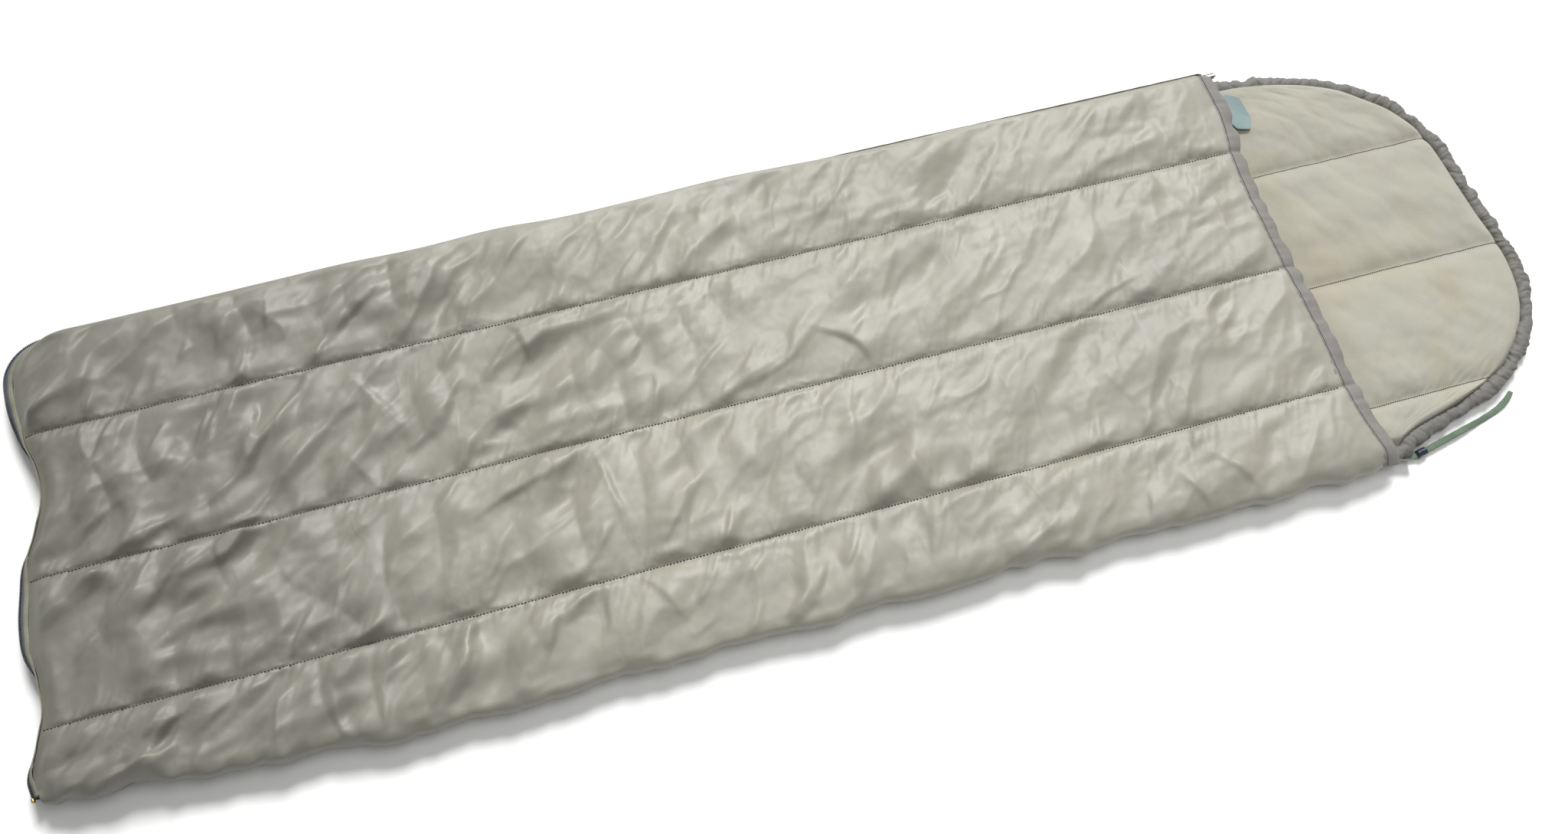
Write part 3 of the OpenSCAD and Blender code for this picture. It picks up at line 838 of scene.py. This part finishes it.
def hood_lining():
    inset = -3 * MM
    x, y, _ = hood_grid(inset, HOOD_FROM, 104, 58, HOOD_NEAR, HOOD_FAR)
    seam = seam_distance(y, QUILT_LOW)
    rim = np.minimum(hood_rim(y[0], inset)[None, :] - x, np.minimum(y - HOOD_NEAR, HOOD_FAR - y))
    swell = np.minimum(smooth(seam / 0.035) ** 0.45, smooth((rim + 0.003) / 0.035) ** 0.7)
    begin = smooth((x - HOOD_FROM) / 0.05)
    folds = waves(x, y, 0.13, 75, 70, 51) + 0.6 * creased(waves(x, y, 0.045, 95, 40, 52)) - 0.3
    z = 20.5 * MM + swell * (3.4 * MM + begin * (4.8 * MM + 1.9 * MM * folds))
    z -= 9.5 * MM * (1 - smooth((rim + 0.001) / 0.014))
    z -= 2.6 * MM * np.exp(-seam / 0.0035)
    start, pinned = np.stack([x, y, z], -1), quilt_pins(y, QUILT_LOW, 1)
    settled = settle(start, (0.022, 0.022), pinned, 20, pressure=0.8, bending=3)
    wrinkles = 2.4 * creased(waves(x, y, 0.085, 62, 35, 54), 1.5)
    wrinkles += 1.3 * creased(waves(x, y, 0.034, 50, 60, 55), 1.5)
    settled[..., 2] += MM * (wrinkles - 1.9) * smooth((rim - 0.012) / 0.03) * begin
    settled[..., 2] = np.clip(settled[..., 2], *HOOD_CLOTH_Z)
    puckers = waves(x - 0.5 * y, y * 0.2, 0.017, 0, 14, 53)
    settled[..., 2] += 0.9 * MM * puckers * np.exp(-((seam - 0.006) / 0.008) ** 2)
    return settled, y[0]


hood_in, hood_rows = hood_lining()
inner_hood = cloth_grid("hood_lining_cloth", hood_in, LINING)
hood_seams = quilt_rows(inner_hood, hood_in.shape[:2], hood_rows, QUILT_LOW)
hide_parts("hood_lining")
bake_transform(inner_hood)


def hood_underside():
    x, y, t = hood_grid(-4 * MM, 0.768, 70, 34, -0.325, 0.326)
    seam = seam_distance(y, QUILT_LOW)
    z = 1.2 * MM + 2.0 * MM * np.exp(-seam / 0.012) + 0.5 * MM * creased(waves(x, y, 0.05, 30, 60, 61))
    z += 6 * MM * smooth(t[:, None] * 12 - 11)
    return cloth_grid("hood_shell_cloth", np.stack([x, y, z], -1), SHELL, flip=True)


outer_hood = hood_underside()
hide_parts("hood_shell")
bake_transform(outer_hood)


def gathered_casing():
    """Tunnel of shell cloth drawn up on its cord into uneven folds."""
    around = 26
    s, a = np.meshgrid(casing_run, np.linspace(0, 2 * math.pi, around, endpoint=False), indexing="ij")
    lean = s + 0.007 * np.cos(a + 2 * np.sin(s / 0.05))
    gather = creased(waves(lean, 0.010 * np.sin(a), 0.036, 0, 40, 71), 1.6) - 0.6
    fine = creased(waves(lean, 0.009 * np.cos(a), 0.015, 0, 45, 72), 1.5) - 0.5
    ends = smooth(s / 0.012) * smooth((casing_run[-1] - s) / 0.012)
    slow = 1 + 0.10 * waves(s, s * 0, 0.16, 0, 1, 73)
    radius = (1 + 0.26 * gather + 0.16 * fine) * slow
    wide = CASING_R * radius * (0.55 + 0.45 * ends)
    high = 9.0 * MM * radius * (0.6 + 0.4 * ends)
    flat_under = np.where(np.sin(a) < 0, 0.9, 1.0)
    wander = 1.2 * MM * waves(s, s * 0, 0.05, 0, 1, 74)
    points = casing_path[:, None, :] + casing_out[:, None, :] * (wander + wide * np.cos(a))[..., None]
    points[..., 2] += high * np.sin(a) * flat_under
    points[..., 2] = np.maximum(points[..., 2], 0.5 * MM)
    piece = tube("drawcord_casing_gathers", points, CASING)
    soften(piece)
    return piece


casing = gathered_casing()
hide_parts("drawcord_casing")
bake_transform(casing)

cord_inside = tube(
    "drawcord_inside",
    [flat_ring(p, d, 7 * MM, 1.8 * MM) for p, d in zip(casing_path[8:-4:3], casing_along[8:-4:3])], CORD,
)
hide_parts("drawcord")
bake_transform(cord_inside)

lining_seams = stitches("lower_quilt_stitches", low_seams, THREAD, seed=5, wide=1.0 * MM)
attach(lining_seams, "lower_panel")
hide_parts("lower_quilt_seams")
rim_seams = stitches("hood_quilt_stitches", hood_seams, THREAD, seed=6, pitch=3.6 * MM, long=3.0 * MM,
                     wide=1.5 * MM)
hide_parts("hood_quilt_seams")
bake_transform(rim_seams)

# ---------------- mouth hem


def mouth_hem():
    """Folded band across the mouth: closed cross-section, swept from the fold to the zip side."""
    y = np.linspace(NEAR_Y + 0.003, PANEL_FAR, 240)
    shell_end = shell[-1, len(FOLD):]
    seam_x, seam_y, seam_z = shell_end[np.argsort(shell_end[:, 1])].T
    inner = np.interp(y, seam_y, seam_x)
    high = np.interp(y, seam_y, seam_z)
    outer = HEM_OUT - 0.002 + through(MOUTH_EDGE, y) + 1.3 * MM * waves(y, y * 0, 0.05, 0, 1, 81)
    sag = 1.2 * MM * waves(y, y * 0, 0.09, 0, 1, 82)
    # Cross-section: fraction across the band, and height above its middle line
    section = [
        (-0.16, 1.0), (0.0, 0.6), (0.09, 1.6), (0.35, 2.3), (0.65, 2.1), (0.88, 1.5), (0.98, 0.5),
        (1.0, -0.6), (0.93, -1.7), (0.6, -2.3), (0.25, -2.2), (0.0, -2.0), (-0.16, -1.6),
    ]
    rings = []
    for k, (place_y, x_in, x_out, z_in) in enumerate(zip(y, inner, outer, high)):
        near_end = math.exp(-((place_y - NEAR_Y) / 0.011) ** 2)
        ring = []
        for across, height in section:
            x = x_in + (x_out - x_in) * across
            drop = 8.5 * MM * max(0.0, across) ** 1.3 + sag[k] * across
            y_ring = place_y - 0.0035 * near_end * (height > 0)
            z = z_in - drop + height * MM * (1 - 0.3 * near_end) - MM - 0.016 * near_end
            ring.append((x, y_ring, z))
        rings.append(ring)
    rings = np.array(rings)
    rings[..., 2] += 0.7 * MM * (creased(waves(rings[..., 1], rings[..., 0] * 0.4, 0.03, 10, 25, 83)) - 0.5)
    piece = tube("mouth_hem_band", rings, HEM)
    soften(piece)
    row = rings[:, 2].copy()
    row[:, 0] += 1.2 * MM
    row[:, 2] += 0.1 * MM
    return piece, row


hem, hem_line = mouth_hem()
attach(hem, "upper_panel")
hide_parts("mouth_hem")
hem_stitches = stitches("hem_stitches", [hem_line], HEM_THREAD, seed=12, pitch=3.4 * MM, long=2.6 * MM,
                        wide=0.9 * MM)
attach(hem_stitches, "upper_panel")
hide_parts("hem_stitching")

# ---------------- zip

ZIP_NEAR_Y = -0.302
COIL_Z = 0.028
# Where the lower and the upper half of the zip end at the head
LOWER_END, UPPER_END = 0.769, 0.742
# Place of the tape and of the piping across the zip, out from the coil
TAPE_SPAN, PIPING_SPAN = (2.0 * MM, 12.6 * MM), (5.4 * MM, 13.6 * MM)


def zip_path():
    """Middle line of the zip coil, with its outward direction and how flat the zip lies."""
    foot_y = np.linspace(ZIP_NEAR_Y, FAR_Y - CORNER_R, 160)
    foot = np.stack([foot_x(foot_y) - (2.2 + 12.5 * through(ZIP_FLAT, foot_y)) * MM, foot_y], -1)
    corner = []
    middle = np.array([foot[-1, 0] + CORNER_R, FAR_Y - CORNER_R])
    for a in np.linspace(0, math.pi / 2, 26)[1:]:
        corner.append(middle + CORNER_R * np.array([-math.cos(a), math.sin(a)]))
    side_x = np.linspace(corner[-1][0] + 0.01, 0.771, 320)
    side = np.stack([side_x, np.full_like(side_x, FAR_Y)], -1)
    line = np.concatenate([foot, corner, side])
    path, run = spline(np.concatenate([line, np.zeros((len(line), 1))], 1)[::3], 2 * MM)
    path[:, 2] = COIL_Z
    along = directions(path)
    out = np.stack([-along[:, 1], along[:, 0], np.zeros(len(path))], -1)
    on_foot = 1 - smooth((path[:, 0] + 1.07) / 0.05)
    flat = np.clip(through(ZIP_FLAT, path[:, 1]), 0, 1) * on_foot
    return path, run, out, flat


zip_line, zip_run, zip_out, zip_flat = zip_path()


def zip_strip(name, material, side, span, thick, until, bulge=0.0, waviness=0.0):
    """Strip beside the coil, over a span of the zip's width. side is 1 for the upper half."""
    low, high = span
    keep = zip_line[:, 0] < until
    rings = []
    tilt = zip_flat * (1.35 if side > 0 else 0.5)
    for p, out, lean, s in zip(zip_line[keep], zip_out[keep], tilt[keep], zip_run[keep]):
        across = np.array([0, 0, side * math.cos(lean)]) - out * math.sin(lean)
        face = out * math.cos(lean) + np.array([0, 0, side * math.sin(lean)])
        centre = p + np.array([0, 0, side * 0.8 * MM])
        ring = []
        wander = waviness * math.sin(s / 0.006) * math.sin(s / 0.041)
        for w, t in ((low, -1), (high, -1), (high, 0.4), ((low + high) / 2, 1), (low, 0.4)):
            puff = bulge * (t > 0.9)
            ring.append(centre + across * (w + wander) + face * (thick / 2 * t + puff))
        rings.append(ring)
    return tube(name, rings, material)


def zip_teeth(name, side, until):
    """One bent tooth of the coil for each pitch."""
    pitch = 2.6 * MM
    # Outline of a tooth in millimetres: out from the coil's line, and up
    profile = [(-1.45, 0.15), (1.45, 0.15), (1.5, 1.1), (0.9, 2.3), (-0.9, 2.3), (-1.5, 1.1)]
    run = zip_run[zip_line[:, 0] < until]
    teeth = []
    for s in np.arange(run[0] + pitch * (0.5 if side > 0 else 1.0), run[-1], pitch):
        centre = np.array([np.interp(s, zip_run, zip_line[:, k]) for k in range(3)])
        out = np.array([np.interp(s, zip_run, zip_out[:, k]) for k in range(3)])
        out /= np.linalg.norm(out)
        along = np.array([out[1], -out[0], 0])
        over = np.array([0, 0, side])
        teeth.append([
            [
                centre + (along * (shift + 0.1 * o) + out * o * grow + over * (1.2 + (h - 1.2) * grow)) * MM
                for o, h in profile
            ]
            for shift, grow in ((-0.75, 0.75), (-0.4, 1), (0.4, 1), (0.75, 0.75))
        ])
    return tubes(name, teeth, COIL, flip=side < 0)


ZIP_HALVES = (("lower", "lower_panel", -1, LOWER_END), ("upper", "upper_panel", 1, UPPER_END))
for half, body, side, until in ZIP_HALVES:
    tape = zip_strip(f"{half}_zip_tape_weave", TAPE, side, TAPE_SPAN, 0.8 * MM, until)
    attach(tape, body)
    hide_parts(f"{half}_zip_tape")
    teeth = zip_teeth(f"{half}_zip_coil_teeth", side, until)
    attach(teeth, body)
    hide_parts(f"{half}_zip_coil")
    piping = zip_strip(f"{half}_piping_tape", PIPING, side, PIPING_SPAN, 1.6 * MM, until - 0.002,
                       bulge=1.2 * MM, waviness=0.35 * MM)
    soften(piping)
    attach(piping, body)
    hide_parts(f"{half}_piping")


def bottom_stop():
    """Brass clip folded over the coil's near end, with rounded edges."""
    width, height, deep = 6 * MM, 6.4 * MM, 4.2 * MM
    centre = zip_line[0] + np.array([-0.4, -1, 0]) * MM
    out = zip_out[0]
    along = np.array([out[1], -out[0], 0])
    rings = []
    for shift, grow in ((-1, 0.75), (-0.85, 0.95), (-0.2, 1.0), (0.2, 0.93), (0.85, 0.95), (1, 0.75)):
        ring = []
        for a in np.arange(16) * math.pi / 8:
            c, s = math.cos(a), math.sin(a)
            ring.append(
                centre + along * shift * width / 2
                + out * math.copysign(abs(c) ** 0.5, c) * deep / 2 * grow
                + np.array([0, 0, 1]) * math.copysign(abs(s) ** 0.5, s) * height / 2 * grow
            )
        rings.append(ring)
    return tube("zip_bottom_stop_clip", rings, BRASS)


stop = bottom_stop()
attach(stop, "lower_panel")
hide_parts("zip_bottom_stop")

# ---------------- corner tab


def corner_tab():
    """Small cloth tab beside the slider, slightly curled."""
    mouth_side = [(0.764, 0.233), (0.752, 0.256), (0.752, 0.292), (0.772, 0.300)]
    head_side = [(0.783, 0.226), (0.793, 0.248), (0.793, 0.248), (0.789, 0.287)]
    rings = []
    for t in np.linspace(0, 1, 24):
        a = np.array([np.interp(t * 3, range(4), [p[i] for p in mouth_side]) for i in (0, 1)])
        b = np.array([np.interp(t * 3, range(4), [p[i] for p in head_side]) for i in (0, 1)])
        top, under = [], []
        for u in np.linspace(0, 1, 12):
            p = a + (b - a) * u
            z = 0.0325 + 1.6 * MM * u + 1.0 * MM * math.sin(5 * t + 2 * u) - 1.2 * MM * (1 - t)
            top.append((p[0], p[1], z + 0.4 * MM))
            under.append((p[0], p[1], z - 0.4 * MM))
        rings.append(top + under[::-1])
    return tube("corner_tab_cloth", rings, TAB)


tab = corner_tab()
soften(tab)
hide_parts("corner_tab")
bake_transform(tab)

# ---------------- wadding

# Room between the wadding and the cloth over it
FILL_GAP = 3.5 * MM


def lowest_near(z, reach):
    """Lowest value of a grid within a few cells of each point."""
    out = z.copy()
    for _ in range(reach):
        for axis in (0, 1):
            ahead, behind = np.roll(out, 1, axis), np.roll(out, -1, axis)
            out = np.minimum(out, np.minimum(ahead, behind))
    return out


def fill_pad(name, body, node_name, over, floor_z, marks):
    """Closed pad of wadding under a surface's grid, thinned to almost nothing along each quilt line."""
    x, y = over[..., 0], over[..., 1]
    top_z = lowest_near(over[..., 2], 1) - FILL_GAP
    seam = seam_distance(y, marks)
    full = smooth((seam - 0.001) / 0.02)
    top_z = np.maximum(top_z * full + (floor_z + 0.5 * MM) * (1 - full), floor_z + 0.4 * MM)
    top = np.stack([x, y, top_z], -1)
    low = np.stack([x, y, np.full_like(x, floor_z)], -1)
    nx, ny = x.shape
    faces = grid_faces(nx, ny)
    count = nx * ny
    faces += [[i + count for i in f[::-1]] for f in grid_faces(nx, ny)]
    index = np.arange(count).reshape(nx, ny)
    rim = list(index[:, 0]) + list(index[-1, 1:]) + list(index[-2::-1, -1]) + list(index[0, -2:0:-1])
    for a, b in zip(rim, rim[1:] + rim[:1]):
        faces.append([int(b), int(a), int(a) + count, int(b) + count])
    piece = mesh_object(name, np.concatenate([top.reshape(-1, 3), low.reshape(-1, 3)]), faces, FILL)
    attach(piece, body)
    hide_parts(node_name)
    return piece


under_shell = softened_grid(outer_shell, shell.shape[:2])
under_shell[..., 2] = lowest_near(under_shell[..., 2], 2)
under_shell = under_shell[4:-2:2, len(FOLD) + 2:-6]
fill_pad("upper_fill_wadding", "upper_panel", "upper_fill", under_shell, floor_z=0.0378, marks=QUILT_TOP)
fill_pad("lower_fill_wadding", "lower_panel", "lower_fill", low_grid[3:-3, 2:-3], floor_z=0.0035,
         marks=QUILT_LOW)
fill_pad("hood_fill_wadding", "hood", "hood_fill", hood_in[12:-8:2, 10:-10:2], floor_z=0.0045,
         marks=QUILT_LOW)

# ---------------- carried-over hardware

HARDWARE = {"zip_slider": STEEL, "zip_pull": STEEL, "cord_lock": LOCK, "zip_top_stop": BRASS}
for name, material in HARDWARE.items():
    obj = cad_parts[name]
    obj.data.materials.clear()
    obj.data.materials.append(material)

# ---------------- floor and light


def floor():
    material = new_material("pale_floor", (0.90, 0.90, 0.89), 0.7, Specular_IOR_Level=0.2)
    place_at = node(material, "ShaderNodeTexCoord")
    grain = noise_of(material, place_at, 60, detail=4)
    finish_material(material, bump=bump_over(material, grain, 0.04, 1 * MM))
    size = 14
    plane = mesh_object("floor", [(-size, -size, 0), (size, -size, 0), (size, size, 0), (-size, size, 0)],
                        [(0, 1, 2, 3)], material, smooth_shade=False)


def soft_light(name, at, size, power, target):
    data = bpy.data.lights.new(name, "AREA")
    data.shape = "DISK"
    data.size = size
    data.energy = power
    lamp = link(bpy.data.objects.new(name, data))
    lamp.location = at
    lamp.rotation_euler = (Vector(target) - Vector(at)).to_track_quat("-Z", "Y").to_euler()


floor()

sun = bpy.data.lights.new("key", "SUN")
sun.energy = 3.5
sun.angle = math.radians(20)
key = link(bpy.data.objects.new("key", sun))
key.rotation_euler = Vector((-0.24, -0.66, -0.74)).to_track_quat("-Z", "Y").to_euler()
soft_light("fill", (0.55, -0.3, 2.4), 1.6, 16, target=(0.5, 0, 0))

world = bpy.data.worlds.new("world")
world.use_nodes = True
world.node_tree.nodes["Background"].inputs["Color"].default_value = (1, 1, 1, 1)
world.node_tree.nodes["Background"].inputs["Strength"].default_value = 0.32
scene.world = world
scene.view_settings.view_transform = "Standard"
